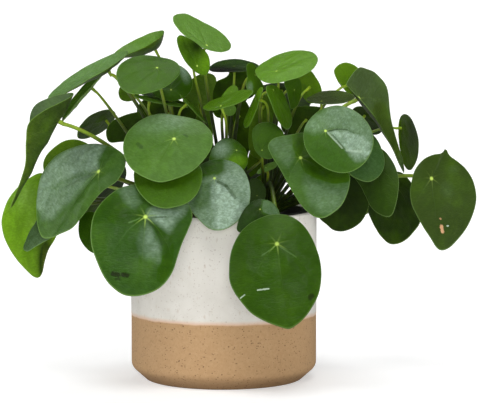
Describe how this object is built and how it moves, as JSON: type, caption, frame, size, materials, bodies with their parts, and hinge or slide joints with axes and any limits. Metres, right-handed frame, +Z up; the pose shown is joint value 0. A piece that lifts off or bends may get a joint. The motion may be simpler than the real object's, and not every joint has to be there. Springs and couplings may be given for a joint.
{
  "type": "potted plant",
  "caption": "Round-leaved houseplant on long arching petioles, standing in a straight stoneware pot with a pale glaze dipped over a bare clay base.",
  "frame": {"origin": "middle of the pot's foot, on the ground", "axes": "+Z up, -Y towards the side the plant is seen from, +X to its right"},
  "size_m": [0.4082, 0.2933, 0.3175],
  "materials": {
    "stoneware": "bare speckled clay below, satin off-white speckled glaze above",
    "black_plastic": "thin moulded plastic, satin",
    "potting_mix": "damp peat and bark crumbs",
    "stalk": "smooth green petioles on short woody stems",
    "foliage": "leathery semi-gloss leaf"
  },
  "bodies": {
    "root": {"pot": "stoneware", "grow_pot": "black_plastic", "soil": "potting_mix", "stem_left": "stalk", "stem_right": "stalk", "stem_back": "stalk", "leaf_01": "foliage", "leaf_02": "foliage", "leaf_03": "foliage", "leaf_04": "foliage", "leaf_05": "foliage", "leaf_06": "foliage", "leaf_07": "foliage", "leaf_08": "foliage", "leaf_09": "foliage", "leaf_10": "foliage", "leaf_11": "foliage", "leaf_12": "foliage", "leaf_13": "foliage", "leaf_14": "foliage", "leaf_15": "foliage", "leaf_16": "foliage", "leaf_17": "foliage", "leaf_18": "foliage", "leaf_19": "foliage", "leaf_20": "foliage", "leaf_21": "foliage", "leaf_22": "foliage", "leaf_23": "foliage", "leaf_24": "foliage", "leaf_25": "foliage", "leaf_26": "foliage", "leaf_27": "foliage", "leaf_28": "foliage", "leaf_29": "foliage", "leaf_30": "foliage", "leaf_31": "foliage", "leaf_32": "foliage", "leaf_33": "foliage", "leaf_34": "foliage", "leaf_35": "foliage", "leaf_36": "foliage", "leaf_37": "foliage", "leaf_38": "foliage", "leaf_39": "foliage", "leaf_40": "foliage", "leaf_41": "foliage", "leaf_42": "foliage", "leaf_43": "foliage", "leaf_44": "foliage", "leaf_45": "foliage", "leaf_46": "foliage", "leaf_47": "foliage", "leaf_48": "foliage", "leaf_49": "foliage", "leaf_50": "foliage", "leaf_51": "foliage", "leaf_52": "foliage"}
  },
  "joints": []
}
